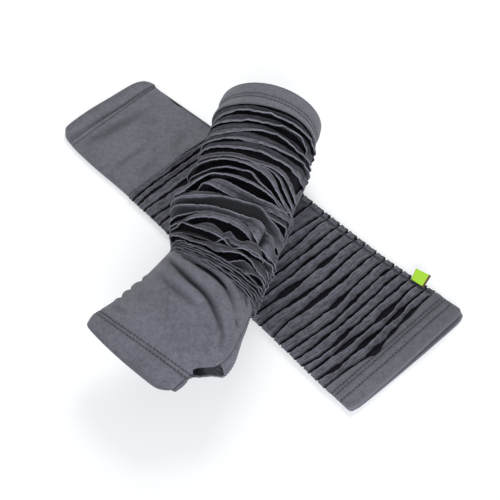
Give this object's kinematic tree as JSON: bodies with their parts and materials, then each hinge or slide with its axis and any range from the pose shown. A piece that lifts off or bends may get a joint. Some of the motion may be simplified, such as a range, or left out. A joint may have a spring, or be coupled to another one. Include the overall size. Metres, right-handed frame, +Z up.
{
  "type": "pair of fingerless arm warmers",
  "caption": "Pair of long fingerless jersey arm warmers with slashed, gathered sleeves, plain hands and a thumb opening; one flat, one in worn form.",
  "frame": {"origin": "middle of the pair's footprint on the table", "axes": "+Z up, +Y from the viewer's side towards the worn one's elbow end, +X to the viewer's right"},
  "size_m": [0.3225, 0.3398, 0.0859],
  "materials": {
    "jersey": "charcoal grey cotton jersey, matt",
    "slashed_jersey": "charcoal grey cotton jersey sewn in rows and slashed between them, matt, dark in the slits",
    "woven_label": "lime green woven loop label, bare"
  },
  "bodies": {
    "root": {"worn_sleeve": "slashed_jersey", "worn_hand": "jersey", "worn_knuckle_hem": "jersey", "worn_elbow_hem": "jersey", "flat_sleeve": "slashed_jersey", "flat_hand": "jersey", "flat_knuckle_hem": "jersey", "flat_elbow_hem": "jersey", "side_label": "woven_label"}
  },
  "joints": []
}
